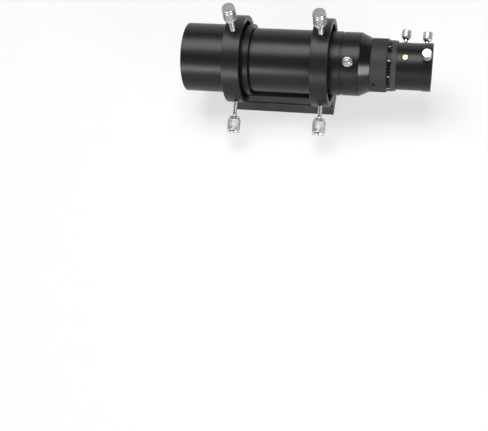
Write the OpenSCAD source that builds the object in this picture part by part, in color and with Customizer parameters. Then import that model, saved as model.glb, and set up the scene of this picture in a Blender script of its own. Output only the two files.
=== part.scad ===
// Guide scope of 50 mm aperture: an optical tube held by six screws in two rings on a dovetail foot,
// with a draw tube, a helical focuser and a 1.25 inch camera holder at its rear end.
//
// Frame: X runs along the optical axis, +X to the rear (camera) end, +Z is up, and -Y is the side
// with the screws that the user reaches. The origin is the middle of the foot's underside.
// Lengths are in millimetres. A "clock" angle is counted about the optical axis, from straight up
// towards -Y, so that rotate([clock, 0, 0]) turns +Z onto it.

/* [Foot] */
// Distance between the middles of the two rings
ring_spacing = 77.2; // [60:0.2:100]
// Width of the dovetail at its underside
foot_w = 32; // [28:0.5:40]
// Height of the dovetail
foot_h = 9.5; // [7:0.5:14]
// Flank angle of the dovetail, from upright
foot_angle = 15; // [10:1:20]
// Width of the rail that carries the rings
rail_w = 27; // [24:0.5:32]
// Height of the rail, from the relief groove up to the ring seats
rail_h = 7.9; // [6:0.1:12]
// Height of the relief groove between dovetail and rail
relief_h = 1.6; // [1:0.1:3]
// Depth of the relief groove on each side
relief_depth = 1.2; // [0.5:0.1:3]
// Depth of the milled seats that keep the rings square
seat_depth = 0.8; // [0.4:0.1:1.5]

/* [Rings] */
// Width of a ring along the tube
ring_w = 15.5; // [12:0.5:20]
// Thickness of a ring where it stands on the rail
ring_floor = 2.4; // [2:0.1:4]
// Free gap between a ring and the front housing, all round
ring_gap = 3.6; // [2:0.1:8]
// Clock angle between neighbouring ring screws
screw_step = 120; // [110:1:130]

/* [Optical tube] */
// Distance from the front ring's middle forward to the front rim
shield_reach = 46.7; // [40:0.1:60]
// Distance from the front ring's middle back to the rear end of the front housing
housing_reach = 10.6; // [9:0.1:16]
// Distance from the rear ring's middle back to the rear end of the main tube
tube_reach = 16.3; // [13:0.1:24]
// Wall of the front housing round the lenses
cell_wall = 4.3; // [3.6:0.1:6]
// Wall of the dew shield
shield_wall = 2.1; // [1.5:0.1:3]
// Step from the front housing down to the main tube, all round
tube_step = 2.4; // [2:0.1:3]
// Wall of the main tube
tube_wall = 2.4; // [2:0.1:3]
// Rise of the lock ring over the front housing
lock_ring_rise = 1; // [0.4:0.1:2]
// Length of the lock ring behind the front housing
lock_ring_len = 3.6; // [2:0.1:6]
// Length of the socket that joins the front housing and the main tube
socket_len = 10; // [7:0.1:14]

/* [Objective] */
// Clear aperture
aperture = 50; // [40:0.5:60]
// Width of the lens edge that the cell holds, all round
lens_edge = 1; // [0.8:0.1:1.2]
// Radius of the crown's front face
crown_front_r = 115; // [95:1:140]
// Radius of the two inner faces
inner_r = 85; // [70:1:110]
// Radius of the flint's rear face
flint_rear_r = 300; // [250:10:500]
// Thickness of the crown at its edge
crown_edge = 1.95; // [1.5:0.05:3]
// Thickness of the flint at its middle
flint_t = 3; // [2.5:0.5:5]
// Air space between the two lenses
air_gap = 0.8; // [0.65:0.05:1.2]
// Depth of the cell in front of the ring that retains the lenses
cell_depth = 3.75; // [2.5:0.05:6]

/* [Draw tube] */
// Length of the rear sleeve that the draw tube slides in
sleeve_len = 14.9; // [12:0.1:24]
// Wall of the rear sleeve
sleeve_wall = 4.3; // [3.5:0.1:6]
// Length of the cone at the draw tube's rear end
cone_len = 9.3; // [7:0.1:14]
// Wall of the draw tube
draw_wall = 2.4; // [1.8:0.1:3]
// Travel of the draw tube, from home to its stop
draw_travel = 15; // [5:0.5:20]

/* [Focuser] */
// Wall of the focus grip
grip_wall = 1.85; // [1.5:0.05:3]
// Length of the focus grip
grip_len = 14.2; // [11:0.1:20]
// Length of the recessed band that carries the scale
band_len = 3.8; // [3:0.1:6]
// Length of the tapered rim behind the scale
rim_len = 4.3; // [3:0.1:6]
// Outer diameter of the camera nosepiece that the holder takes (1.25 inch)
nosepiece_d = 31.75; // [24.5:0.05:38.1]
// Wall of the holder round the nosepiece
holder_wall = 4.55; // [3.8:0.05:6]
// Wall of the holder where it slides on the guide tube
skirt_wall = 2; // [1.6:0.1:2.5]
// How far the end section stands proud of the holder's barrel
end_step = 0.45; // [0.3:0.05:2]
// Length of the holder's end section
end_len = 7.9; // [7:0.1:12]
// Length of the bore that the nosepiece seats in
bore_len = 10; // [8.3:0.1:16]
// Outward travel of the holder from rest
focus_out = 8; // [4:0.5:10]
// Inward travel of the holder from rest
focus_in = 2; // [1:0.5:3]

/* [Ring screws] */
// Nominal diameter of the ring screws' thread
ring_screw_d = 4; // [3:0.1:5]
// Free length of the rear ring screws, between the ring and their heads
ring_screw_free = 10.9; // [6:0.1:20]
// Head diameter of a ring screw
ring_head_d = 11.8; // [9.8:0.1:14.2]
// Head length of a ring screw
ring_head_len = 14.5; // [11:0.1:18]

/* [Small screws] */
// Nominal diameter of the small thumbscrews' thread
small_screw_d = 3; // [2.5:0.1:4]
// Free length of the lock screw, between the sleeve and the head's knurl
small_screw_free = 5.9; // [5.4:0.1:9]
// Head diameter of a small thumbscrew
small_head_d = 8.2; // [7:0.1:10]
// Knurled length of a small thumbscrew's head
small_head_len = 4.8; // [3.6:0.1:7]

/* [Hidden] */
// Clearances, each between the radii of two round faces or between two flat faces
run_fit = 0.05;    // parts that turn or slide in each other
glue_fit = 0.1;    // parts seated in each other within one body
thread_fit = 0.06; // a screw in its tapped hole
rest_gap = 0.25;   // a screw's tip and the round face it bears on
face_gap = 0.2;    // faces that move apart or turn past each other
lens_gap = 0.02;   // a lens and the edge that holds it
end_play = 0.6;    // left over at the end of a travel
edge = 0.4;        // small chamfer of a turned part
over = 1;          // how far a cut runs past a face
fine = 128;        // facets of a full turn on large turned parts
small = 40;        // facets of a full turn on screws

black = "#222226";
matt = "#101012";
steel = "#c9cacc";
brass = "#c8a24a";
nylon = "#efeee6";
glass = "#a8c8c4";

// Small fasteners: M3 countersunk bolts of the rings, M3 set screw of the grip, brass key screw
bolt_r = 1.5;
bolt_head_r = 3;
bolt_head_h = 1.7;
bolt_len = 12;
bolt_sink = 0.2;                   // head below the ring's bore
bolt_room = 0.75;                  // metal left between a bolt's head and the ring's face
bolt_gap = 0.6;                    // between the heads of a ring's two bolts
bolt_pitch = ring_w - 2 * (bolt_head_r + bolt_room);
// in a narrow ring the two bolts stand on a slant, so that their heads stay apart
bolt_slant = sqrt(max(0, pow(2 * bolt_head_r + bolt_gap, 2) - pow(bolt_pitch, 2)));
set_r = 1.5;
set_point_r = 0.8;
key_r = 2.15;
key_point_r = 1.22;
key_slot_half = key_point_r + 0.08;
ring_tip_len = 3;                  // soft tips in the ends of the screws
small_tip_len = 1.5;

// Radii of the front housing, the main tube and the rear sleeve
lens_r = aperture / 2 + lens_edge;
lens_bore = lens_r + glue_fit;
housing_r = lens_bore + cell_wall;
shield_r = housing_r - shield_wall;
tube_r = housing_r - tube_step;
tube_ir = tube_r - tube_wall;
spigot_wall = 1.35;                // wall of the main tube's front spigot
spigot_r = tube_ir + spigot_wall;
socket_r = spigot_r + glue_fit;
sleeve_r = tube_r - 0.25;
collar_r = tube_r - 1;             // groove between the main tube and the sleeve
sleeve_spigot_r = tube_ir - glue_fit;
sleeve_bore = sleeve_r - sleeve_wall;
draw_r = sleeve_bore - run_fit;
draw_ir = draw_r - draw_wall;
draw_seat_r = draw_r - 1;          // seat of the stop ring

// Radii of the focuser's nested sleeves, from the nosepiece outwards
bore_r = nosepiece_d / 2 + 0.025;
holder_r = bore_r + holder_wall;
end_r = holder_r + end_step;
guide_r = holder_r - skirt_wall - run_fit;
guide_ir = nosepiece_d / 2 + 0.7;
journal_r = guide_r + 0.8;         // neck that the helicoid nut turns on
nut_bore = holder_r + run_fit;
nut_r = nut_bore + 0.95;
grip_bore = nut_r + glue_fit;
grip_r = grip_bore + grip_wall;
band_r = grip_r - 1;
band_rear_r = band_r - 0.3;
rim_r = band_rear_r + 0.15;
clamp_r = bore_r + 1.2;            // outside of the split clamp ring
clamp_w = 4.4;

// Distances from the axis at which the screws' tips rest
front_rest = housing_r + rest_gap;
rear_rest = tube_r + rest_gap;
draw_rest = draw_r + rest_gap;
guide_rest = guide_r + rest_gap;
clamp_rest = clamp_r + rest_gap;

// Radii of the rings and the height of the optical axis over the foot's underside
ring_ir = housing_r + ring_gap;
ring_flat = ring_ir + ring_floor;
ring_or = sqrt(pow(ring_flat, 2) + pow(rail_w / 2, 2));
seat_z = foot_h + relief_h + rail_h;
axis_h = seat_z + ring_flat;
bar_len = ring_spacing + ring_w;
ring_x = ring_spacing / 2;

// Lengths of the screws, from tip to outer face, long enough for the thickest wall each passes
ring_screw_len = ring_or - rear_rest + ring_screw_free + ring_head_len;
small_wall = max(sleeve_r - draw_rest, end_r - clamp_rest, holder_r - guide_rest);
small_screw_len = small_wall + small_screw_free + small_head_len;

// Depth of a face of radius face_r at a distance from the axis
function sag(face_r, at) = face_r - sqrt(pow(face_r, 2) - pow(at, 2));

// Stations along the optical axis, from front to rear
front_x = -ring_x - shield_reach;
housing_end = -ring_x + housing_reach;
lock_ring_end = housing_end + lock_ring_len;
socket_x = housing_end - socket_len;
seat_x = socket_x - 2;             // a rib carries the lenses
tube_start = lock_ring_end + 0.9;  // groove between lock ring and main tube
tube_end = ring_x + tube_reach;
sleeve_start = tube_end + 1.4;
sleeve_end = sleeve_start + sleeve_len;
cone_start = sleeve_end + face_gap;
cone_end = cone_start + cone_len;
grip_start = cone_end + face_gap;
grip_end = grip_start + grip_len;
band_end = grip_end + band_len;
rim_end = band_end + rim_len;

// Stations of the two lenses, held by edges at the clear aperture, and of their retaining ring
crown_t = crown_edge + sag(crown_front_r, lens_r) + sag(inner_r, lens_r);
flint_back = seat_x + sag(flint_rear_r, aperture / 2) - lens_gap;
flint_front = flint_back - flint_t;
crown_back = flint_front - air_gap;
crown_front = crown_back - crown_t;
lens_ring_back = crown_front + sag(crown_front_r, aperture / 2) - lens_gap;
lens_ring_front = lens_ring_back - 2.5;
cell_x = lens_ring_front - cell_depth;

// Stations inside the draw tube and the focuser
sleeve_spigot_x = tube_end - 8;
draw_stop_len = 2.5;
draw_front = sleeve_spigot_x - face_gap - draw_travel - draw_stop_len;
draw_step_x = cone_start + 2.5;
neck_ring_x = cone_end + 3.3;
neck_ring_len = 2.4;
nut_start = cone_end + 0.3;
nut_lip_end = neck_ring_x - face_gap;
nut_end = rim_end - edge;
holder_front = neck_ring_x + neck_ring_len + focus_in + end_play;
key_x = rim_end + focus_in + small_head_d / 2 + 1;
focus_lock_x = key_x - 1.5;
guide_end = key_x + focus_out + 2.2;
holder_shoulder = guide_end + focus_in + end_play;
holder_end = holder_shoulder + bore_len;
end_start = holder_end - end_len;
clamp_x = holder_end - small_head_d / 2 - 0.5;
clamp_far_x = clamp_x - 1.3;         // the ring's middle lies between its two screws
clamp_mid_x = (clamp_x + clamp_far_x) / 2;
lock_x = sleeve_start + 6.6;
set_x = grip_start + 3.6;

// Clock angles of the small screws
lock_clock = 36.8;
near_clock = 17.5;
far_clock = near_clock - 91;
set_clock = 85.9;

// A body of revolution about the optical axis from [station, radius] corners
module turned(corners) {
    translate([0, 0, axis_h]) rotate([0, 90, 0])
        rotate_extrude($fn = fine) polygon([for (c = corners) [c[1], c[0]]]);
}

// Puts children that stand on the optical axis, along +Z, at a station and a clock angle
module radial(x, clock) {
    translate([x, 0, axis_h]) rotate([clock, 0, 0]) children();
}

// A round hole or shaft along +Z, between two distances from the optical axis
module post(r, from, to) {
    translate([0, 0, from]) cylinder(r = r, h = to - from, $fn = small);
}

// A slot along X with round ends, between two stations, cut through at one clock angle
module slot(from, to, half_w, inner, outer, clock) {
    radial(from, clock) {
        post(half_w, inner, outer);
        translate([to - from, 0, 0]) post(half_w, inner, outer);
        translate([0, -half_w, inner]) cube([to - from, 2 * half_w, outer - inner]);
    }
}

// ---- foot and rings ----

// Where the four countersunk bolts stand, as the middle of each head's flat face
module at_bolts() {
    for (ring = [-ring_x, ring_x], side = [-0.5, 0.5])
        translate([ring + side * bolt_pitch, side * bolt_slant, axis_h - ring_ir - bolt_sink])
            children();
}

module dovetail_bar() {
    chamfer = 0.5;
    top_w = foot_w - 2 * foot_h * tan(foot_angle);
    neck_w = top_w - 2 * relief_depth;
    rail_z = foot_h + relief_h;
    top_z = seat_z + seat_depth;
    half = [
        [foot_w / 2 - chamfer, 0], [foot_w / 2, chamfer],
        [top_w / 2, foot_h], [neck_w / 2, foot_h], [neck_w / 2, rail_z],
        [rail_w / 2, rail_z], [rail_w / 2, top_z - chamfer],
        [rail_w / 2 - chamfer, top_z]
    ];
    mirrored = [for (i = [len(half) - 1:-1:0]) [-half[i][0], half[i][1]]];
    color(black) difference() {
        translate([-bar_len / 2, 0, 0]) rotate([90, 0, 90])
            linear_extrude(bar_len) polygon(concat(half, mirrored));
        // seats of the rings, milled across the rail
        for (ring = [-ring_x, ring_x])
            translate([ring - (ring_w + face_gap) / 2, -rail_w, seat_z])
                cube([ring_w + face_gap, 2 * rail_w, 2 * seat_depth]);
        at_bolts() translate([0, 0, -bolt_len - end_play])
            cylinder(r = bolt_r + thread_fit, h = bolt_len + end_play, $fn = small);
    }
}

module ring(x) {
    lead = 0.8;
    front = x - ring_w / 2;
    rear = x + ring_w / 2;
    color(black) difference() {
        turned([
            [front, ring_ir + lead], [front, ring_or - edge], [front + edge, ring_or],
            [rear - edge, ring_or], [rear, ring_or - edge], [rear, ring_ir + lead],
            [rear - lead, ring_ir], [front + lead, ring_ir]
        ]);
        // the flat that stands on the rail
        translate([x - ring_w, -ring_or, seat_z - ring_or])
            cube([2 * ring_w, 2 * ring_or, ring_or]);
        for (i = [-1:1]) radial(x, i * screw_step)
            post(ring_screw_d / 2 + thread_fit, ring_ir / 2, ring_or + over);
        at_bolts() {
            translate([0, 0, -bolt_len])
                cylinder(r = bolt_r + glue_fit, h = bolt_len, $fn = small);
            translate([0, 0, -bolt_head_h]) cylinder(
                r1 = bolt_r + glue_fit, r2 = bolt_head_r + glue_fit, h = bolt_head_h, $fn = small);
            cylinder(r = bolt_head_r + glue_fit, h = ring_floor, $fn = small);
        }
    }
}

module ring_front() {
    ring(-ring_x);
}

module ring_rear() {
    ring(ring_x);
}

module ring_bolts() {
    hex_r = 1.15;
    hex_depth = 1.1;
    color(steel) at_bolts() difference() {
        union() {
            translate([0, 0, -bolt_len]) cylinder(r = bolt_r, h = bolt_len, $fn = small);
            translate([0, 0, -bolt_head_h])
                cylinder(r1 = bolt_r, r2 = bolt_head_r, h = bolt_head_h, $fn = small);
        }
        translate([0, 0, -hex_depth]) cylinder(r = hex_r, h = 2 * hex_depth, $fn = 6);
    }
}

// ---- optical tube ----

module front_housing() {
    cell_lead = 1.6;
    color(black) turned([
        [front_x, shield_r + edge], [front_x, housing_r - edge], [front_x + edge, housing_r],
        [housing_end - edge / 2, housing_r], [housing_end, housing_r - edge / 2],
        [housing_end, socket_r], [socket_x, socket_r], [socket_x, aperture / 2],
        [seat_x, aperture / 2], [seat_x, lens_bore], [cell_x + cell_lead, lens_bore],
        [cell_x, lens_bore + cell_lead], [cell_x, shield_r], [front_x + edge, shield_r]
    ]);
}

module lens_ring() {
    // two notches in the front face take a pin spanner
    notch_w = 2;
    notch_h = 1.2;
    inner = aperture / 2;
    lead = 0.3;
    color(matt) difference() {
        turned([
            [lens_ring_front, inner + lead], [lens_ring_front, lens_r], [lens_ring_back, lens_r],
            [lens_ring_back, inner], [lens_ring_front + lead, inner]
        ]);
        translate([lens_ring_front - over, -notch_w / 2, axis_h - lens_r - over])
            cube([notch_h + over, notch_w, 2 * (lens_r + over)]);
    }
}

// A sphere about a point of the optical axis
module ball(x, r) {
    translate([x, 0, axis_h]) rotate([0, 90, 0]) sphere(r = r, $fn = 4 * fine);
}

// A plain disc of the lens diameter between two stations
module lens_blank(from, to) {
    translate([from, 0, axis_h]) rotate([0, 90, 0]) cylinder(r = lens_r, h = to - from, $fn = fine);
}

module crown_lens() {
    color(glass) intersection() {
        lens_blank(crown_front - over, crown_back + over);
        ball(crown_front + crown_front_r, crown_front_r);
        ball(crown_back - inner_r, inner_r);
    }
}

module flint_lens() {
    color(glass) difference() {
        intersection() {
            lens_blank(flint_front - 2 * sag(inner_r, lens_r), flint_back + over);
            ball(flint_back - flint_rear_r, flint_rear_r);
        }
        ball(flint_front - inner_r, inner_r);
    }
}

module lens_spacer() {
    // it bears on the crown with its inner edge and on the flint with its outer edge
    in_r = aperture / 2 + 0.2;
    out_r = lens_r - 0.1;
    from = crown_back - sag(inner_r, in_r) + lens_gap;
    to = flint_front - sag(inner_r, out_r) - lens_gap;
    color(matt) turned([[from, in_r], [from, out_r], [to, out_r], [to, in_r]]);
}

module lock_ring() {
    // screwed on the main tube's front thread, hard against the housing, with a groove for grip
    ring_r = housing_r + lock_ring_rise;
    groove_x = housing_end + lock_ring_len / 2;
    groove_half = 0.35;
    round_off = 0.5;
    color(black) turned([
        [housing_end, socket_r], [housing_end, ring_r - edge / 2],
        [housing_end + edge / 2, ring_r], [groove_x - groove_half, ring_r],
        [groove_x, ring_r - groove_half], [groove_x + groove_half, ring_r],
        [lock_ring_end - round_off, ring_r],
        [lock_ring_end - round_off / 4, ring_r - round_off / 4],
        [lock_ring_end, ring_r - round_off], [lock_ring_end, socket_r]
    ]);
}

module main_tube() {
    color(black) turned([
        [socket_x, tube_ir], [socket_x, spigot_r], [tube_start, spigot_r],
        [tube_start, tube_r - edge], [tube_start + edge, tube_r],
        [tube_end - edge, tube_r], [tube_end, tube_r - edge], [tube_end, tube_ir]
    ]);
}

module tube_baffle() {
    // a pressed disc with a rim, half way between the lenses and the draw tube
    sheet = 0.8;
    rim = 3;
    x = (socket_x + draw_front) / 2;
    hole_r = draw_ir - 1.5;
    seat_r = tube_ir - glue_fit;
    color(matt) turned([
        [x, hole_r], [x, seat_r], [x + rim, seat_r], [x + rim, seat_r - sheet],
        [x + sheet, seat_r - sheet], [x + sheet, hole_r + sheet / 2]
    ]);
}

module rear_sleeve() {
    color(black) difference() {
        turned([
            [sleeve_spigot_x, sleeve_bore], [sleeve_spigot_x, sleeve_spigot_r],
            [tube_end, sleeve_spigot_r], [tube_end, collar_r], [sleeve_start, collar_r],
            [sleeve_start, sleeve_r - edge], [sleeve_start + edge, sleeve_r],
            [sleeve_end - edge / 2, sleeve_r], [sleeve_end, sleeve_r - edge / 2],
            [sleeve_end, sleeve_bore]
        ]);
        radial(lock_x, lock_clock)
            post(small_screw_d / 2 + thread_fit, draw_r / 2, sleeve_r + over);
    }
}

// ---- draw tube and focuser ----

module draw_tube() {
    // the bore narrows to the guide tube's under the cone, in front of the neck
    neck_web = 2.4;
    lead = 0.3;
    color(black) difference() {
        turned([
            [draw_front, draw_ir], [draw_front, draw_seat_r],
            [draw_front + draw_stop_len, draw_seat_r], [draw_front + draw_stop_len, draw_r],
            [cone_start, draw_r], [cone_start, sleeve_r], [cone_start + lead, sleeve_r],
            [cone_end, grip_r], [cone_end, journal_r], [neck_ring_x, journal_r],
            [neck_ring_x, guide_r], [guide_end, guide_r], [guide_end, guide_ir],
            [cone_end - neck_web, guide_ir], [draw_step_x, draw_ir]
        ]);
        slot(key_x - focus_in, key_x + focus_out, key_slot_half,
            guide_ir / 2, guide_r + over, near_clock);
    }
}

module draw_stop() {
    stop_r = tube_ir - 0.5;
    color(matt) turned([
        [draw_front, draw_seat_r + glue_fit], [draw_front, stop_r - edge],
        [draw_front + edge, stop_r], [draw_front + draw_stop_len, stop_r],
        [draw_front + draw_stop_len, draw_seat_r + glue_fit]
    ]);
}

module neck_ring() {
    inner = guide_r + glue_fit;
    outer = nut_bore - 0.3;
    back = neck_ring_x + neck_ring_len;
    color(matt) turned([[neck_ring_x, inner], [neck_ring_x, outer], [back, outer], [back, inner]]);
}

module helicoid_nut() {
    // its lip turns on the neck, between the cone and the neck ring
    dimple_r = 0.9;
    color(matt) difference() {
        turned([
            [nut_start, journal_r + run_fit], [nut_start, nut_r], [nut_end, nut_r],
            [nut_end, nut_bore], [nut_lip_end, nut_bore], [nut_lip_end, journal_r + run_fit]
        ]);
        radial(set_x, set_clock) post(dimple_r, nut_r - 0.5, nut_r + over);
    }
}

module focus_grip() {
    color(black) difference() {
        turned([
            [grip_start, grip_bore], [grip_start, grip_r - edge], [grip_start + edge, grip_r],
            [grip_end - edge, grip_r], [grip_end, grip_r - edge], [grip_end, grip_bore]
        ]);
        radial(set_x, set_clock) post(set_r + thread_fit, nut_r / 2, grip_r + over);
    }
}

module scale_ring() {
    lip_r = nut_bore + 0.8;
    inner_lip_r = nut_bore + 0.3;
    color(black) turned([
        [grip_end, grip_bore], [grip_end, band_r], [band_end, band_rear_r],
        [band_end, rim_r - edge / 4], [band_end + edge / 4, rim_r],
        [rim_end - edge / 2, lip_r + edge], [rim_end, lip_r], [rim_end, inner_lip_r],
        [nut_end, inner_lip_r], [nut_end, grip_bore]
    ]);
}

module grip_set_screw() {
    hex_r = 0.87;
    sunk = 0.5;
    color(matt) radial(set_x, set_clock) difference() {
        union() {
            post(set_r, nut_r + 0.15, grip_r - sunk);
            post(set_point_r, nut_r - 0.45, nut_r + 0.2);
        }
        translate([0, 0, grip_r - 1.7]) cylinder(r = hex_r, h = 2, $fn = 6);
    }
}

module holder() {
    groove_r = clamp_r + glue_fit;
    groove_half = (clamp_w + glue_fit) / 2;
    spot_rim = 0.5;                // spot face round the key screw
    spot_depth = 0.5;
    screw_r = small_screw_d / 2 + thread_fit;
    color(black) difference() {
        turned([
            [holder_front, guide_r + run_fit], [holder_front, holder_r - edge],
            [holder_front + edge, holder_r], [end_start, holder_r], [end_start, end_r - edge],
            [end_start + edge, end_r], [holder_end - edge, end_r], [holder_end, end_r - edge],
            [holder_end, bore_r + edge], [holder_end - edge, bore_r],
            [clamp_mid_x + groove_half, bore_r], [clamp_mid_x + groove_half, groove_r],
            [clamp_mid_x - groove_half, groove_r], [clamp_mid_x - groove_half, bore_r],
            [holder_shoulder, bore_r], [holder_shoulder, guide_r + run_fit]
        ]);
        radial(key_x, near_clock) post(key_r + thread_fit, guide_ir, holder_r + over);
        radial(key_x, near_clock) post(key_r + spot_rim, holder_r - spot_depth, holder_r + over);
        radial(focus_lock_x, far_clock) post(screw_r, guide_ir, holder_r + over);
        radial(clamp_x, near_clock) post(screw_r, bore_r + edge, end_r + over);
        radial(clamp_far_x, far_clock) post(screw_r, bore_r + edge, end_r + over);
    }
}

module clamp_ring() {
    // the gap lies opposite the two screws, so that they close the ring on the nosepiece
    gap_clock = (near_clock + far_clock) / 2 + 180;
    gap_w = 2.5;
    inner = bore_r + 0.02;
    front = clamp_mid_x - clamp_w / 2;
    back = clamp_mid_x + clamp_w / 2;
    color(brass) difference() {
        turned([[front, inner], [front, clamp_r], [back, clamp_r], [back, inner]]);
        radial(clamp_mid_x, gap_clock) translate([-clamp_w, -gap_w / 2, bore_r / 2])
            cube([2 * clamp_w, gap_w, bore_r]);
    }
}

module key_screw() {
    driver_w = 0.7;
    driver_depth = 1.25;
    top = holder_r + 0.35;
    color(brass) radial(key_x, near_clock) difference() {
        union() {
            post(key_r, guide_r + rest_gap, top);
            post(key_point_r, guide_ir + 0.3, guide_r + 0.3);
        }
        translate([-key_r - over, -driver_w / 2, top - driver_depth])
            cube([2 * (key_r + over), driver_w, 2 * driver_depth]);
    }
}

// ---- thumbscrews, built along +Z from the point where their tip rests ----

module ring_screw(rest_r) {
    shank_r = ring_screw_d / 2;
    head_r = ring_head_d / 2;
    foot_r = head_r - 1.2;         // end of the head on the shank, chamfered to the shoulder
    shoulder_r = head_r - 0.6;
    neck_r = head_r - 1.1;         // groove between shoulder and knurl
    waist_r = head_r - 0.5;        // groove that sets off the end band
    shy_r = head_r - 0.2;
    top = ring_screw_len;
    head = top - ring_head_len;
    body = head + 2.6;             // start of the knurled body
    waist = top - 3.9;
    color(steel) translate([0, 0, rest_r]) rotate_extrude($fn = small) polygon([
        [0, ring_tip_len], [shank_r, ring_tip_len], [shank_r, head], [foot_r, head],
        [shoulder_r, head + 0.6], [shoulder_r, body - 0.7], [neck_r, body - 0.5],
        [neck_r, body], [shy_r, body + 0.2], [head_r, body + 0.5],
        [head_r, waist - 0.8], [shy_r, waist - 0.5], [waist_r, waist - 0.4],
        [waist_r, waist + 0.4], [shy_r, waist + 0.5], [head_r, waist + 0.8],
        [head_r, top - 0.6], [head_r - 0.6, top], [0, top]
    ]);
}

module ring_tip(rest_r) {
    color(nylon) translate([0, 0, rest_r])
        cylinder(r = ring_screw_d / 2 - 0.3, h = ring_tip_len, $fn = small);
}

module small_screw(rest_r) {
    shank_r = small_screw_d / 2;
    head_r = small_head_d / 2;
    neck_r = shank_r + 0.4;
    cup_r = head_r - 0.45;         // top of the cone under the knurl
    cone_h = 3.9;
    top = small_screw_len;
    head = top - small_head_len;
    neck = head - cone_h - 1.2;
    color(steel) translate([0, 0, rest_r]) rotate_extrude($fn = small) polygon([
        [0, small_tip_len], [shank_r, small_tip_len], [shank_r, neck], [neck_r, neck],
        [neck_r, head - cone_h], [cup_r, head - 0.2], [cup_r, head],
        [head_r - 0.25, head], [head_r, head + 0.25], [head_r, top - edge], [head_r - edge, top],
        [0, top]
    ]);
}

module small_tip(rest_r, hue) {
    color(hue) translate([0, 0, rest_r])
        cylinder(r = small_screw_d / 2 - 0.25, h = small_tip_len, $fn = small);
}

module front_top_screw() { radial(-ring_x, 0) ring_screw(front_rest); }
module front_near_screw() { radial(-ring_x, screw_step) ring_screw(front_rest); }
module front_far_screw() { radial(-ring_x, -screw_step) ring_screw(front_rest); }
module rear_top_screw() { radial(ring_x, 0) ring_screw(rear_rest); }
module rear_near_screw() { radial(ring_x, screw_step) ring_screw(rear_rest); }
module rear_far_screw() { radial(ring_x, -screw_step) ring_screw(rear_rest); }

module front_top_tip() { radial(-ring_x, 0) ring_tip(front_rest); }
module front_near_tip() { radial(-ring_x, screw_step) ring_tip(front_rest); }
module front_far_tip() { radial(-ring_x, -screw_step) ring_tip(front_rest); }
module rear_top_tip() { radial(ring_x, 0) ring_tip(rear_rest); }
module rear_near_tip() { radial(ring_x, screw_step) ring_tip(rear_rest); }
module rear_far_tip() { radial(ring_x, -screw_step) ring_tip(rear_rest); }

module draw_lock_screw() { radial(lock_x, lock_clock) small_screw(draw_rest); }
module draw_lock_tip() { radial(lock_x, lock_clock) small_tip(draw_rest, nylon); }
module focus_lock_screw() { radial(focus_lock_x, far_clock) small_screw(guide_rest); }
module focus_lock_tip() { radial(focus_lock_x, far_clock) small_tip(guide_rest, nylon); }
module clamp_near_screw() { radial(clamp_x, near_clock) small_screw(clamp_rest); }
module clamp_near_tip() { radial(clamp_x, near_clock) small_tip(clamp_rest, brass); }
module clamp_far_screw() { radial(clamp_far_x, far_clock) small_screw(clamp_rest); }
module clamp_far_tip() { radial(clamp_far_x, far_clock) small_tip(clamp_rest, brass); }

dovetail_bar();
ring_front();
ring_rear();
ring_bolts();
front_housing();
lens_ring();
crown_lens();
lens_spacer();
flint_lens();
lock_ring();
main_tube();
tube_baffle();
rear_sleeve();
draw_tube();
draw_stop();
neck_ring();
helicoid_nut();
focus_grip();
scale_ring();
grip_set_screw();
holder();
clamp_ring();
key_screw();
front_top_screw();
front_near_screw();
front_far_screw();
rear_top_screw();
rear_near_screw();
rear_far_screw();
front_top_tip();
front_near_tip();
front_far_tip();
rear_top_tip();
rear_near_tip();
rear_far_tip();
draw_lock_screw();
draw_lock_tip();
focus_lock_screw();
focus_lock_tip();
clamp_near_screw();
clamp_near_tip();
clamp_far_screw();
clamp_far_tip();
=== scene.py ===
# Guide scope of 50 mm aperture: a small refractor held by six thumbscrews in two rings on a
# dovetail foot, with a draw tube, a helical focuser and a holder for a 1.25 inch camera. The
# optical axis runs along X, and a clock angle is counted round it from straight up.
import math

import bmesh
import bpy
from mathutils import Matrix, Vector


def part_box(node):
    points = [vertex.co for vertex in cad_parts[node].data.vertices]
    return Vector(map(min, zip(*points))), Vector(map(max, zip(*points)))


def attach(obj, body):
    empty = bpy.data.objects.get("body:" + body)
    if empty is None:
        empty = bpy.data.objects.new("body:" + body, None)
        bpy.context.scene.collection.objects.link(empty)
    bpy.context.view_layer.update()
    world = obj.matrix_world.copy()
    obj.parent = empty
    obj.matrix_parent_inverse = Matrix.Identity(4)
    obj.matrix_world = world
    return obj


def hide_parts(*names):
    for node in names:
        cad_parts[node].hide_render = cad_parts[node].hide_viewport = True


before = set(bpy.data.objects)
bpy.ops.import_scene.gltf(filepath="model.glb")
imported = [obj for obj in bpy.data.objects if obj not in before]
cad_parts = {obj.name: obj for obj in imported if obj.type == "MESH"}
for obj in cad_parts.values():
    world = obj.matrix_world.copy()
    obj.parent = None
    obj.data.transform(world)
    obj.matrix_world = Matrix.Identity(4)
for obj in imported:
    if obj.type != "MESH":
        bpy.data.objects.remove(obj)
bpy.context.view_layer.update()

MM = 0.001


# ---- Camera ----
# A short telephoto that looks down on the scope from its near side and a little from behind,
# so that it shows the whole near side, the tops of the rings and the far screws behind them.
camera_place = Vector((0.145179, -0.525913, 0.696081))
camera_side = math.radians(22.566)
camera_drop = math.radians(58.403)
camera_roll = math.radians(-14.919)
sight = Vector((-math.sin(camera_side) * math.cos(camera_drop),
                math.cos(camera_side) * math.cos(camera_drop), -math.sin(camera_drop)))
level = sight.cross(Vector((0, 0, 1))).normalized()
upward = level.cross(sight)
right = level * math.cos(camera_roll) + upward * math.sin(camera_roll)
upward = upward * math.cos(camera_roll) - level * math.sin(camera_roll)
lens = bpy.data.cameras.new("camera")
lens.sensor_width = 36
lens.lens = 68.268541
lens.clip_start = 0.01
lens.clip_end = 20
camera = bpy.data.objects.new("camera", lens)
camera.matrix_world = Matrix.Translation(camera_place) @ Matrix(
    (right, upward, -sight)).transposed().to_4x4()
bpy.context.scene.collection.objects.link(camera)
bpy.context.scene.camera = camera


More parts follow.
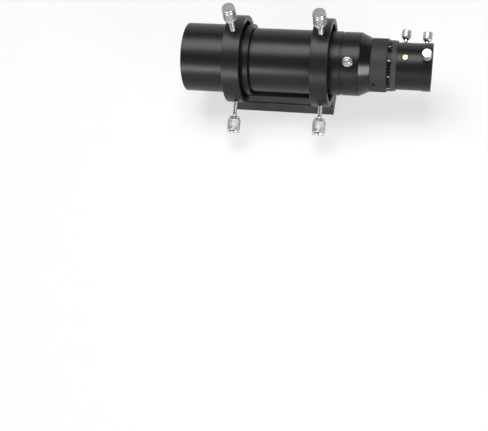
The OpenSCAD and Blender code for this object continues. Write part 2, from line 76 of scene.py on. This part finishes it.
# ---- Studio ----
# A pale sweep of paper under the scope and a big soft box above it. A low card at its near left
# and one at its near right give the second highlights. The room is white low down, dim above.
def shader(name):
    """A new material, its node tree and its main shader."""
    made = bpy.data.materials.new(name)
    made.use_nodes = True
    return made, made.node_tree, made.node_tree.nodes["Principled BSDF"]


def put(tree, kind, plugs=(), **settings):
    """One node in a tree; a plug takes a plain value or another node's output."""
    node = tree.nodes.new("ShaderNode" + kind)
    for name, value in settings.items():
        setattr(node, name, value)
    for name, value in dict(plugs).items():
        if isinstance(value, bpy.types.NodeSocket):
            tree.links.new(value, node.inputs[name])
        else:
            node.inputs[name].default_value = value
    return node.outputs


def link_in(obj, finish=None):
    """Puts an object in the scene, with a finish if its mesh brings none."""
    bpy.context.scene.collection.objects.link(obj)
    if finish:
        obj.data.materials.append(finish)
    return obj


def backdrop_rays(tree):
    """1 where the camera, a reflection or a lens looks at the backdrop, 0 where it sheds light."""
    rays = put(tree, "LightPath")
    seen = put(tree, "Math", {0: rays["Is Camera Ray"], 1: rays["Is Glossy Ray"]},
               operation="MAXIMUM")["Value"]
    return put(tree, "Math", {0: seen, 1: rays["Is Transmission Ray"]}, operation="MAXIMUM")["Value"]


paper, tree, skin = shader("paper")
fleck = put(tree, "TexNoise", {"Vector": put(tree, "TexCoord")["Object"], "Scale": 60.0})
tone = put(tree, "MixRGB", {"Fac": fleck["Fac"], "Color1": (0.80, 0.80, 0.80, 1),
                            "Color2": (0.84, 0.84, 0.84, 1)})
tree.links.new(tone["Color"], skin.inputs["Base Color"])
skin.inputs["Roughness"].default_value = 0.9
skin.inputs["Specular IOR Level"].default_value = 0.1
white = put(tree, "Emission", {"Strength": 1.0})["Emission"]
away = put(tree, "VectorMath", {0: put(tree, "TexCoord")["Object"]}, operation="LENGTH")["Value"]
share = put(tree, "MapRange", {"Value": away, "From Min": 0.35, "From Max": 1.3,
                               "To Min": 0.62, "To Max": 1.0})["Result"]
share = put(tree, "Math", {0: backdrop_rays(tree), 1: share}, operation="MULTIPLY")["Value"]
lit = put(tree, "MixShader", {0: share, 1: skin.outputs["BSDF"], 2: white})["Shader"]
tree.links.new(lit, tree.nodes["Material Output"].inputs["Surface"])
floor_half = 2.2
floor_side = 1.4 * floor_half
floor_drop = 0.00005
bend_r = 0.5
wall_h = 1.6
bend_rows = 12
profile = [(-floor_half, 0.0)]
for k in range(bend_rows + 1):
    bend = k * math.pi / 2 / bend_rows
    profile.append((floor_half - bend_r + bend_r * math.sin(bend), bend_r * (1 - math.cos(bend))))
profile.append((floor_half, wall_h))
sweep = bmesh.new()
left_edge, right_edge = ([sweep.verts.new((x, y, z - floor_drop)) for y, z in profile]
                         for x in (-floor_side, floor_side))
for k in range(len(profile) - 1):
    sweep.faces.new((left_edge[k], right_edge[k], right_edge[k + 1], left_edge[k + 1]))
floor_mesh = bpy.data.meshes.new("floor")
sweep.to_mesh(floor_mesh)
sweep.free()
floor_mesh.shade_smooth()
floor = link_in(bpy.data.objects.new("floor", floor_mesh), paper)

for name, place, aim, wide, deep, watts in (
        ("soft_box", (-0.13, 0.05, 1.05), (0.0, 0.05, 0.05), 0.60, 0.80, 11.4),
        ("near_left_card", (-0.42, -1.25, 0.30), (0.0, 0.0, 0.05), 0.42, 0.30, 6.6),
        ("near_right_card", (0.80, -0.72, 0.36), (0.08, 0.0, 0.05), 0.40, 0.50, 7.2)):
    lamp = bpy.data.lights.new(name, "AREA")
    lamp.shape = "RECTANGLE"
    lamp.size = wide
    lamp.size_y = deep
    lamp.energy = watts
    stand = bpy.data.objects.new(name, lamp)
    stand.location = place
    stand.rotation_euler = (Vector(aim) - Vector(place)).to_track_quat("-Z", "Y").to_euler()
    bpy.context.scene.collection.objects.link(stand)

world = bpy.data.worlds.new("room")
world.use_nodes = True
tree = world.node_tree
height = put(tree, "SeparateXYZ", {"Vector": put(tree, "TexCoord")["Generated"]})["Z"]
fade = put(tree, "MapRange", {"Value": height, "From Min": 0.10, "From Max": 0.50,
                              "To Min": 1.0, "To Max": 0.26})["Result"]
strength = put(tree, "MapRange", {"Value": backdrop_rays(tree), "To Min": 0.25, "To Max": 1.0})
strength = put(tree, "Math", {0: strength["Result"], 1: fade}, operation="MULTIPLY")["Value"]
tree.links.new(strength, tree.nodes["Background"].inputs["Strength"])
tree.nodes["Background"].inputs["Color"].default_value = (1, 1, 1, 1)
bpy.context.scene.world = world
bpy.context.scene.view_settings.view_transform = "Standard"


# ---- Dovetail foot ----
# An extruded bar of aluminium, milled across for the ring seats and anodised satin black. The fine
# lines of the die run along it. Four countersunk bolts from inside the rings hold them on it. Its
# black is painted paler than the tube's: painted light for the light its sloping flanks catch.
def anodised(name, dark, pale, rough, lines, line_size=0.12, line_depth=0.4, grain_depth=0.35,
             specular=0.28):
    """Black anodised aluminium: dye that varies in clouds about 18 mm across, tool lines of
    line_size in millimetres, drawn out where lines is small, and an etched grain of 0.1 mm."""
    made, tree, skin = shader(name)
    place = put(tree, "TexCoord")["Object"]
    cloud = put(tree, "TexNoise", {"Vector": place, "Scale": 55.0, "Detail": 4.0})["Fac"]
    grain = put(tree, "TexNoise", {"Vector": place, "Scale": 9000.0, "Detail": 2.0})["Fac"]
    along = put(tree, "Mapping", {"Vector": place, "Scale": lines})["Vector"]
    tool = put(tree, "TexNoise", {"Vector": along, "Scale": 1 / (line_size * MM), "Detail": 3.0,
                                  "Roughness": 0.6})["Fac"]
    mottle = put(tree, "Math", {0: cloud, 1: grain}, operation="MULTIPLY")["Value"]
    mottle = put(tree, "MapRange", {"Value": mottle, "From Min": 0.12, "From Max": 0.40})["Result"]
    dye = put(tree, "MixRGB", {"Fac": mottle, "Color1": (*dark, 1), "Color2": (*pale, 1)})["Color"]
    tree.links.new(dye, skin.inputs["Base Color"])
    sheen = put(tree, "MapRange", {"Value": tool, "From Min": 0.3, "From Max": 0.7,
                                   "To Min": rough - 0.05, "To Max": rough + 0.07})["Result"]
    tree.links.new(sheen, skin.inputs["Roughness"])
    lay = put(tree, "Bump", {"Height": tool, "Strength": line_depth, "Distance": 0.004 * MM})
    skin_bump = put(tree, "Bump", {"Height": grain, "Strength": grain_depth,
                                   "Distance": 0.006 * MM, "Normal": lay["Normal"]})
    tree.links.new(skin_bump["Normal"], skin.inputs["Normal"])
    skin.inputs["Specular IOR Level"].default_value = specular
    return made


def dress(finish, *nodes):
    """Gives CAD nodes a finish."""
    for name in nodes:
        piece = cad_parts[name]
        piece.data.materials.clear()
        piece.data.materials.append(finish)


# Painted light: a paler copy of the tube's black, standing in for the light on the bar's flanks.
bar_painted_light_finish = anodised("bar_anodise_painted_light", (0.022, 0.022, 0.024), (0.040, 0.040, 0.043), 0.42,
                      (0.02, 1, 1), line_size=0.25, line_depth=0.5, specular=0.3)
dress(bar_painted_light_finish, "dovetail_bar")


# ---- Rings ----
# Two turned and bored rings, milled flat underneath, tapped for three screws each and anodised
# like the tube. Their turning lines run round them, and the steel bolts are sunk in their bores.
round_x = (1, 0.03, 0.03)
ring_finish = anodised("ring_anodise", (0.0035, 0.0035, 0.0043), (0.008, 0.008, 0.0093), 0.35,
                       round_x, line_size=0.18)
dress(ring_finish, "ring_front", "ring_rear")


def bright_metal(name, dark, pale, rough, lines, line_size=0.08, line_depth=0.5):
    """Plated or turned metal: tool lines in its sheen and a faint change of tone. The lines
    "face" are circles round the piece's own Z axis, as left on a turned face."""
    made, tree, skin = shader(name)
    place = put(tree, "TexCoord")["Object"]
    cloud = put(tree, "TexNoise", {"Vector": place, "Scale": 240.0, "Detail": 3.0})["Fac"]
    if lines == "face":
        split = put(tree, "SeparateXYZ", {"Vector": place})
        x2 = put(tree, "Math", {0: split["X"], 1: split["X"]}, operation="MULTIPLY")["Value"]
        r2 = put(tree, "Math", {0: split["Y"], 1: split["Y"], 2: x2}, operation="MULTIPLY_ADD")
        from_axis = put(tree, "Math", {0: r2["Value"]}, operation="SQRT")["Value"]
        along = put(tree, "CombineXYZ", {"X": from_axis, "Z": split["Z"]})["Vector"]
    else:
        along = put(tree, "Mapping", {"Vector": place, "Scale": lines})["Vector"]
    tool = put(tree, "TexNoise", {"Vector": along, "Scale": 1 / (line_size * MM), "Detail": 3.0,
                                  "Roughness": 0.65})["Fac"]
    tint = put(tree, "MixRGB", {"Fac": cloud, "Color1": (*dark, 1), "Color2": (*pale, 1)})["Color"]
    tree.links.new(tint, skin.inputs["Base Color"])
    sheen = put(tree, "MapRange", {"Value": tool, "From Min": 0.3, "From Max": 0.7,
                                   "To Min": rough - 0.06, "To Max": rough + 0.08})["Result"]
    tree.links.new(sheen, skin.inputs["Roughness"])
    lay = put(tree, "Bump", {"Height": tool, "Strength": line_depth, "Distance": 0.003 * MM})
    tree.links.new(lay["Normal"], skin.inputs["Normal"])
    skin.inputs["Metallic"].default_value = 1.0
    return made


bolt_finish = bright_metal("bolt_steel", (0.30, 0.30, 0.31), (0.42, 0.42, 0.43), 0.34,
                           (1, 1, 0.05))
dress(bolt_finish, "ring_bolts")


# ---- Front housing, lock ring and main tube ----
# The housing with its dew shield and the main tube are turned from tube, screwed together behind
# the objective, held by a lock ring and anodised satin black. Fine turning lines run round them.
tube_finish = anodised("tube_anodise", (0.002, 0.002, 0.0026), (0.0055, 0.0055, 0.0068), 0.33,
                       round_x, line_size=0.14)
dress(tube_finish, "front_housing", "lock_ring", "main_tube")


# ---- Dew shield lining and other blackened parts ----
# The inside of the dew shield is ridged to kill stray light. The ridges are saw-toothed rings in
# one lining, blackened and dull, from the rim back to the lens cell. The parts inside match them.
def matt(name, tone):
    """Dull black, as inside an optical tube."""
    made, tree, skin = shader(name)
    place = put(tree, "TexCoord")["Object"]
    dust = put(tree, "TexNoise", {"Vector": place, "Scale": 2600.0, "Detail": 3.0})["Fac"]
    shade = put(tree, "MixRGB", {"Fac": dust, "Color1": (*(0.6 * t for t in tone), 1),
                                 "Color2": (*(1.5 * t for t in tone), 1)})["Color"]
    tree.links.new(shade, skin.inputs["Base Color"])
    lay = put(tree, "Bump", {"Height": dust, "Strength": 0.5, "Distance": 0.01 * MM})
    tree.links.new(lay["Normal"], skin.inputs["Normal"])
    skin.inputs["Roughness"].default_value = 0.85
    skin.inputs["Specular IOR Level"].default_value = 0.3
    return made


def spun(name, outline, columns, relief=None, closed=False, sharp=32):
    """A solid turned from (radius, height) points about Z, in millimetres; relief(angle, height)
    moves the surface out or in. A radius of 0 closes an end, and a closed outline is a ring's.
    Edges over sharp degrees stay crisp."""
    bm = bmesh.new()
    rings = []
    for radius, height in outline:
        if radius == 0:
            rings.append([bm.verts.new((0, 0, height * MM))])
            continue
        ring = []
        for k in range(columns):
            angle = 2 * math.pi * k / columns
            r = radius + (relief(angle, height) if relief else 0)
            ring.append(bm.verts.new((r * MM * math.cos(angle), r * MM * math.sin(angle),
                                      height * MM)))
        rings.append(ring)
    for a, b in list(zip(rings, rings[1:])) + ([(rings[-1], rings[0])] if closed else []):
        for k in range(columns):
            n = (k + 1) % columns
            if len(a) == 1:
                bm.faces.new((a[0], b[n], b[k]))
            elif len(b) == 1:
                bm.faces.new((a[k], a[n], b[0]))
            else:
                bm.faces.new((a[k], a[n], b[n], b[k]))
    bmesh.ops.recalc_face_normals(bm, faces=bm.faces)
    mesh = bpy.data.meshes.new(name)
    bm.to_mesh(mesh)
    bm.free()
    mesh.shade_smooth()
    mesh.set_sharp_from_angle(angle=math.radians(sharp))
    return mesh


def on_axis(station):
    """Stands +Z on the optical axis at a station in millimetres, pointing to the rear."""
    return Matrix.Translation((station * MM, 0, axis_z)) @ Matrix.Rotation(math.pi / 2, 4, "Y")


shield_low, shield_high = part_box("front_housing")
axis_z = (shield_low.z + shield_high.z) / 2
front_x = shield_low.x / MM
shield_bore = 28.3
shield_len = 28.2
lining_start = 1.0
lining_back_r = shield_bore + 0.01
ridge_root_r = shield_bore - 0.03
ridge_top_r = shield_bore - 0.28
ridge_pitch = 0.75
ridge_slope = 0.85 * ridge_pitch
inside_finish = matt("inside_black", (0.010, 0.010, 0.011))
ridges = [(lining_back_r, lining_start)]
for k in range(int(shield_len / ridge_pitch)):
    start = lining_start + k * ridge_pitch
    ridges += [(ridge_root_r, start), (ridge_top_r, start + ridge_slope)]
lining_end = ridges[-1][1] + 0.1
ridges += [(ridge_root_r, lining_end), (lining_back_r, lining_end)]
shield_thread = link_in(bpy.data.objects.new(
    "shield_thread", spun("shield_thread", ridges, 96, closed=True)), inside_finish)
shield_thread.matrix_world = on_axis(front_x)
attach(shield_thread, "tube")
dress(inside_finish, "lens_ring", "lens_spacer", "tube_baffle", "draw_stop", "neck_ring",
      "helicoid_nut")


# ---- Objective lenses ----
# An air-spaced pair of ground and polished lenses, crown in front and flint behind it, each with a
# thin anti-reflection coating that gives a green and violet bloom. A notched ring holds them.
for name, index, film in (("crown_lens", 1.52, 520.0), ("flint_lens", 1.62, 470.0)):
    glass, tree, skin = shader(name + "_glass")
    haze = put(tree, "TexNoise", {"Vector": put(tree, "TexCoord")["Object"], "Scale": 300.0})["Fac"]
    polish = put(tree, "MapRange", {"Value": haze, "To Min": 0.0, "To Max": 0.012})["Result"]
    tree.links.new(polish, skin.inputs["Roughness"])
    skin.inputs["Base Color"].default_value = (0.93, 0.98, 0.95, 1)
    skin.inputs["Transmission Weight"].default_value = 1.0
    skin.inputs["IOR"].default_value = index
    skin.inputs["Thin Film Thickness"].default_value = film
    skin.inputs["Thin Film IOR"].default_value = 1.38
    dress(glass, name)


# ---- Rear sleeve and draw tube ----
# The sleeve is screwed into the main tube and anodised like it. The draw tube slides in it, so it
# is turned finer and left with a brighter skin, which shows on the cone at its end.
dress(tube_finish, "rear_sleeve")
cone_finish = anodised("draw_tube_anodise", (0.002, 0.002, 0.0024), (0.005, 0.005, 0.0058), 0.22,
                       round_x, line_size=0.08, line_depth=0.25, specular=0.34)
dress(cone_finish, "draw_tube")


# ---- Focus grip ----
# A ring of the same aluminium with a fine diamond knurl, matt from the rolled teeth. A socket set
# screw in a plain drilled hole in its side holds it on the nut.
def steps(start, end, pitch):
    """Heights from start to end, about a pitch apart."""
    count = max(1, round((end - start) / pitch))
    return [start + (end - start) * k / count for k in range(count + 1)]


def diamonds(teeth, depth, start, end, radius):
    """The relief of a diamond knurl: pyramids between two crossing sets of grooves."""
    lead = 2 * math.pi * radius / teeth

    def relief(angle, height):
        if not start <= height <= end:
            return 0
        around, up = angle * teeth / (2 * math.pi), (height - start) / lead
        u, v = (around + up) % 1, (around - up) % 1
        return -depth * (1 - 2 * min(u, 1 - u, v, 1 - v))
    return relief


def radial(station, clock):
    """Stands +Z on the optical axis at a station in millimetres, turned to a clock angle."""
    return Matrix.Translation((station * MM, 0, axis_z)) @ Matrix.Rotation(clock, 4, "X")


grip_low, grip_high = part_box("focus_grip")
grip_len = (grip_high.x - grip_low.x) / MM
grip_r = 23.4
grip_bore = 21.55
edge = 0.4
grip_sharp = 45
grip_teeth = 160
tooth_columns = 4
tooth_depth = 0.2
knurl_r = grip_r - 0.02
knurl_lead_in = 0.15
grip_pitch = 2 * math.pi * grip_r / grip_teeth / tooth_columns
knurl_from = 0.9
knurl_to = knurl_from + grip_pitch * int((grip_len - knurl_from - knurl_from) / grip_pitch)
outline = [(grip_bore, 0), (grip_r - edge, 0), (grip_r, edge),
           (grip_r, knurl_from - knurl_lead_in)]
outline += [(knurl_r, h) for h in steps(knurl_from, knurl_to, grip_pitch)]
outline += [(grip_r, knurl_to + knurl_lead_in), (grip_r, grip_len - edge),
            (grip_r - edge, grip_len), (grip_bore, grip_len)]
grip_mesh = spun("focus_grip", outline, grip_teeth * tooth_columns,
                 diamonds(grip_teeth, tooth_depth, knurl_from, knurl_to, grip_r),
                 closed=True, sharp=grip_sharp)
grip_finish = anodised("grip_anodise", (0.016, 0.016, 0.018), (0.030, 0.030, 0.033), 0.50,
                       round_x, grain_depth=0.6)
grip = link_in(bpy.data.objects.new("grip", grip_mesh), grip_finish)
grip.matrix_world = on_axis(grip_low.x / MM)
set_low, set_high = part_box("grip_set_screw")
set_clock = math.radians(85.9)
set_hole_r = 1.56
drill_from = 18
drill_to = 26
drill_mesh = spun("drill", [(0, drill_from), (set_hole_r, drill_from), (set_hole_r, drill_to),
                            (0, drill_to)], 32)
drill = link_in(bpy.data.objects.new("drill", drill_mesh), grip_finish)
drill.matrix_world = radial((set_low.x + set_high.x) / 2 / MM, set_clock)
hole = grip.modifiers.new("hole", "BOOLEAN")
hole.object = drill
hole.operation = "DIFFERENCE"
hole.solver = "EXACT"
bpy.context.view_layer.update()
shown = bpy.context.evaluated_depsgraph_get()
drilled = bpy.data.meshes.new_from_object(grip.evaluated_get(shown))
grip.modifiers.clear()
grip.data = drilled
drilled.name = "grip"
drilled.set_sharp_from_angle(angle=math.radians(grip_sharp))
bpy.data.objects.remove(drill)
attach(grip, "focus")
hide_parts("focus_grip")
set_finish = bright_metal("set_screw_black", (0.02, 0.02, 0.022), (0.05, 0.05, 0.055), 0.4,
                          (1, 1, 1))
dress(set_finish, "grip_set_screw")


# ---- Scale ring ----
# The ring behind the grip, with a matt tapered rim and a recessed band, polished and dyed deep
# black. Ten numbers, and fine lines five to a step, are cut in the band and filled with white.
rim_finish = anodised("rim_anodise", (0.018, 0.018, 0.020), (0.034, 0.034, 0.037), 0.45,
                      round_x, line_size=0.10, specular=0.4)
dress(rim_finish, "scale_ring")
band_start = 95.1
band_len = 3.8
band_front_r = 22.4
band_rear_r = 22.1
band_margin = 0.02
band_skin = 0.012
band_columns = 192
paint_proud = 0.03
paint_deep = 0.05
first_mark = math.radians(28.8)
mark_count = 10
lines_a_step = 5
line_end = 3.65
line_len = 0.55
line_wide = 0.13
digit_high = 2.0
digit_middle = 1.85
type_size = digit_high * 1.45


def on_band(round_by, along, clock, lift):
    """A point of the band, by its distance round and along it and its height over it."""
    r = band_front_r + (band_rear_r - band_front_r) * along / band_len + lift
    a = clock + round_by / band_rear_r
    return ((band_start + along) * MM, -r * MM * math.sin(a), axis_z + r * MM * math.cos(a))


def inlay(bm, outline, clock):
    """Adds a filled mark to the band: an outline of (round, along) millimetres, bent to it."""
    low_edge, top_edge = ([bm.verts.new(on_band(u, v, clock, lift)) for u, v in outline]
                          for lift in (-paint_deep, paint_proud))
    bm.faces.new(top_edge)
    bm.faces.new(low_edge[::-1])
    for k in range(len(outline)):
        n = (k + 1) % len(outline)
        bm.faces.new((low_edge[k], low_edge[n], top_edge[n], top_edge[k]))


def rounded_bar(wide, start, end):
    """A bar along the axis with round ends, as an end mill cuts it."""
    half = wide / 2
    facets = 6
    arc = [math.pi * k / facets for k in range(facets + 1)]
    return ([(half * math.cos(a), start + half - half * math.sin(a)) for a in arc]
            + [(-half * math.cos(a), end - half + half * math.sin(a)) for a in arc])


band_finish = anodised("band_anodise", (0.003, 0.003, 0.0035), (0.006, 0.006, 0.007), 0.20,
                       round_x, line_depth=0.15, grain_depth=0.1, specular=0.12)
band = bmesh.new()
band_edges = [[band.verts.new(on_band(2 * math.pi * band_rear_r * k / band_columns, along, 0, lift))
               for k in range(band_columns)]
              for along, lift in ((band_margin, 0.0), (band_margin, band_skin),
                                  (band_len - band_margin, band_skin),
                                  (band_len - band_margin, 0.0))]
for a, b in zip(band_edges, band_edges[1:] + band_edges[:1]):
    for k in range(band_columns):
        n = (k + 1) % band_columns
        band.faces.new((a[k], a[n], b[n], b[k]))
bmesh.ops.recalc_face_normals(band, faces=band.faces)
band_mesh = bpy.data.meshes.new("scale_band")
band.to_mesh(band_mesh)
band.free()
band_mesh.shade_smooth()
band_mesh.set_sharp_from_angle(angle=math.radians(30))
scale_band = link_in(bpy.data.objects.new("scale_band", band_mesh), band_finish)
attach(scale_band, "focus")

scale = bmesh.new()
for k in range(mark_count * lines_a_step):
    clock = first_mark + 2 * math.pi * k / mark_count / lines_a_step
    inlay(scale, rounded_bar(line_wide, line_end - line_len, line_end), clock)
for k in range(mark_count):
    numeral = bpy.data.curves.new("digit", "FONT")
    numeral.body = str(k)
    numeral.size = type_size
    numeral.resolution_u = 2
    numeral.align_x = "CENTER"
    numeral.align_y = "CENTER"
    numeral.extrude = 0.5
    shape = bpy.data.objects.new("digit", numeral)
    solid = bpy.data.meshes.new_from_object(shape)
    clock = first_mark + 2 * math.pi * k / mark_count
    bent = bmesh.new()
    bent.from_mesh(solid)
    bmesh.ops.remove_doubles(bent, verts=bent.verts, dist=0.001)
    for v in bent.verts:
        lift = paint_proud if v.co.z > 0 else -paint_deep
        v.co = on_band(-v.co.x, digit_middle - v.co.y, clock, lift)
    digit = bpy.data.meshes.new("digit")
    bent.to_mesh(digit)
    bent.free()
    scale.from_mesh(digit)
    bpy.data.objects.remove(shape)
bmesh.ops.recalc_face_normals(scale, faces=scale.faces)
scale_mesh = bpy.data.meshes.new("scale_paint")
scale.to_mesh(scale_mesh)
scale.free()
scale_mesh.shade_flat()
paint, tree, skin = shader("white_paint")
worn = put(tree, "TexNoise", {"Vector": put(tree, "TexCoord")["Object"], "Scale": 2400.0})["Fac"]
tone = put(tree, "MixRGB", {"Fac": worn, "Color1": (0.62, 0.62, 0.61, 1),
                            "Color2": (0.90, 0.90, 0.88, 1)})["Color"]
tree.links.new(tone, skin.inputs["Base Color"])
skin.inputs["Roughness"].default_value = 0.6
scale_paint = link_in(bpy.data.objects.new("scale_paint", scale_mesh), paint)
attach(scale_paint, "focus")


# ---- Camera holder ----
# The turned holder slides on the guide tube inside it. A slotted brass screw keys it, and a split
# brass ring in a groove of its bore is closed on the camera's nosepiece by two thumbscrews.
holder_finish = anodised("holder_anodise", (0.0028, 0.0026, 0.0036), (0.0068, 0.0064, 0.0082), 0.32,
                         round_x, line_size=0.11)
dress(holder_finish, "holder")
brass_finish = bright_metal("brass", (0.44, 0.36, 0.19), (0.60, 0.51, 0.30), 0.38,
                            (1, 0.05, 0.05), line_size=0.09)
dress(brass_finish, "clamp_ring", "key_screw", "clamp_near_tip", "clamp_far_tip")


# ---- Ring screws ----
# Six long nickel-plated thumbscrews with an M4 thread, a plain shoulder, a diamond-knurled head,
# a groove and a plain end band round a turned face. A white nylon tip in each bears on the tube.
def thread(pitch, depth, start, end, fade=0.5):
    """The relief of a right-handed thread that runs out over fade at its ends."""
    def relief(angle, height):
        if not start < height < end:
            return 0
        turn = (height / pitch - angle / (2 * math.pi)) % 1
        run = min(1, (height - start) / fade, (end - height) / fade)
        return -depth * run * (1 - 2 * min(turn, 1 - turn))
    return relief


nickel = bright_metal("bright_nickel", (0.54, 0.536, 0.525), (0.68, 0.676, 0.665), 0.18, "face")
# A darker copy of the plating: partly the duller rolled skin of the knurl, partly painted shade
# between its teeth.
knurl_nickel_painted_shade = bright_metal("knurl_nickel_painted_shade", (0.38, 0.378, 0.37), (0.58, 0.577, 0.567), 0.30,
                              (1, 1, 1), line_size=0.2, line_depth=0.8)
# A darker copy of the plating for the end face: painted shade for the dimmer light from above; its
# turning lines are real.
face_nickel_painted_shade = bright_metal("face_nickel_painted_shade", (0.39, 0.388, 0.38), (0.55, 0.547, 0.538), 0.33,
                            "face", line_size=0.35, line_depth=0.9)


def screw_mesh(name, profile, knurls, head_r, teeth, depth, pitch, thread_depth, thread_end):
    """A thumbscrew from its tip up: profile corners, with fine rows where it is knurled or cut.
    Its finishes are the bright plating and two darker copies of it: on the knurl, partly its duller
    rolled skin and partly painted shade between the teeth, and on the end face, painted shade."""
    fine = 2 * math.pi * head_r / teeth / tooth_columns
    cut = thread(pitch, thread_depth, profile[1][1], thread_end)
    rolled = [diamonds(teeth, depth, a, b, head_r) for a, b in knurls]

    def relief(angle, height):
        if height < thread_end:
            return cut(angle, height)
        return sum(roll(angle, height) for roll in rolled)

    outline = [profile[0]]
    for (r0, h0), (r1, h1) in zip(profile, profile[1:]):
        if r0 == r1 and h0 < thread_end < h1 + 1:
            outline += [(r0, h) for h in steps(h0, min(h1, thread_end), pitch / 6)]
        for a, b in knurls:
            if r0 == r1 and h0 <= a and b <= h1:
                outline += [(r0, h) for h in steps(a, b, fine)]
        outline.append((r1, h1))
    clean = [outline[0]]
    for point in outline[1:]:
        if math.dist(point, clean[-1]) > 1e-4:
            clean.append(point)
    mesh = spun(name, clean, teeth * tooth_columns, relief, sharp=40)
    top = profile[-1][1]
    for finish in (nickel, knurl_nickel_painted_shade, face_nickel_painted_shade):
        mesh.materials.append(finish)
    # The knurl takes the partly painted shade, and the upward end face takes the painted shade.
    for face in mesh.polygons:
        height = face.center.z / MM
        if any(a <= height <= b for a, b in knurls):
            face.material_index = 1
        elif height > top - 0.2 and face.normal.z > 0.9:
            face.material_index = 2
    return mesh


nylon, tree, skin = shader("nylon")
milk = put(tree, "TexNoise", {"Vector": put(tree, "TexCoord")["Object"], "Scale": 900.0})["Fac"]
tone = put(tree, "MixRGB", {"Fac": milk, "Color1": (0.76, 0.75, 0.70, 1),
                            "Color2": (0.88, 0.87, 0.82, 1)})["Color"]
tree.links.new(tone, skin.inputs["Base Color"])
skin.inputs["Roughness"].default_value = 0.45
skin.inputs["Subsurface Weight"].default_value = 0.2
skin.inputs["Subsurface Scale"].default_value = 0.5 * MM

ring_station = 38.6
ring_outer_r = 38.8228
front_rest = 30.65
rear_rest = 28.25
ring_screw_free = 10.9
ring_head_len = 14.5
ring_head_r = 5.9
top = ring_outer_r - rear_rest + ring_screw_free + ring_head_len
head = top - ring_head_len
body = head + 2.4
waist = top - 2.2
ring_profile = [
    (0, 3.0), (1.75, 3.0), (2.0, 3.25), (2.0, head), (4.8, head), (5.05, head + 0.2),
    (5.05, body - 0.6), (4.6, body - 0.5), (4.6, body), (5.6, body), (ring_head_r, body + 0.35),
    (ring_head_r, waist - 0.35), (5.7, waist), (4.8, waist), (4.8, waist + 0.6),
    (5.55, waist + 0.65), (5.55, top - 0.36), (5.34, top), (4.0, top), (2.4, top), (0, top)]
ring_screw_mesh = screw_mesh(
    "ring_screw", ring_profile, [(body + 0.45, waist - 0.45)],
    ring_head_r, 24, 0.45, 0.7, 0.36, head - 1.0)


def thumbscrew(name, mesh, station, clock, rest):
    """Stands a thumbscrew with its tip's rest from the axis, in place of its CAD node."""
    piece = link_in(bpy.data.objects.new(name + "_knurled", mesh))
    outward = Matrix.Translation((0, 0, rest * MM))
    piece.matrix_world = radial(station, math.radians(clock)) @ outward
    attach(piece, name + "_screw")
    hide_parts(name + "_screw")


for ring, station, rest in (("front", -ring_station, front_rest),
                            ("rear", ring_station, rear_rest)):
    for side, clock in (("top", 0), ("near", 120), ("far", -120)):
        thumbscrew(f"{ring}_{side}", ring_screw_mesh, station, clock, rest)
        dress(nylon, f"{ring}_{side}_tip")


# ---- Small thumbscrews ----
# Four M3 thumbscrews of the same plating: one locks the draw tube, one the focuser, and two clamp
# the camera. Each has a neck that flares to a knurled head with a groove turned in its face. The
# two locks have nylon tips.
small_head_r = 4.1
small_wall = 4.1
small_screw_free = 5.9
small_head_len = 4.8
small_knurl = 6.9
top = small_wall + small_screw_free + small_head_len
head = top - small_knurl
neck = 4.6
small_profile = [
    (0, 1.5), (1.3, 1.5), (1.5, 1.7), (1.5, neck), (1.9, neck), (1.9, neck + 1.1),
    (3.3, head - 0.7), (3.6, head - 0.3), (3.65, head), (3.85, head), (small_head_r, head + 0.25),
    (small_head_r, top - 0.5), (3.9, top - 0.14), (3.6, top), (3.1, top), (2.85, top - 0.4),
    (2.4, top - 0.4), (2.1, top - 0.12), (1.2, top - 0.05), (0, top - 0.05)]
small_screw_mesh = screw_mesh("small_screw", small_profile, [(head + 0.35, top - 0.6)],
                              small_head_r, 24, 0.28, 0.5, 0.26, neck - 0.2)
for name, rest, station, clock in (
        ("draw_lock", 23.65, 62.9, 36.8), ("focus_lock", 18.65, 108.8, -73.5),
        ("clamp_near", 17.35, 128.5, 17.5), ("clamp_far", 17.35, 127.2, -73.5)):
    thumbscrew(name, small_screw_mesh, station, clock, rest)
dress(nylon, "draw_lock_tip", "focus_lock_tip")
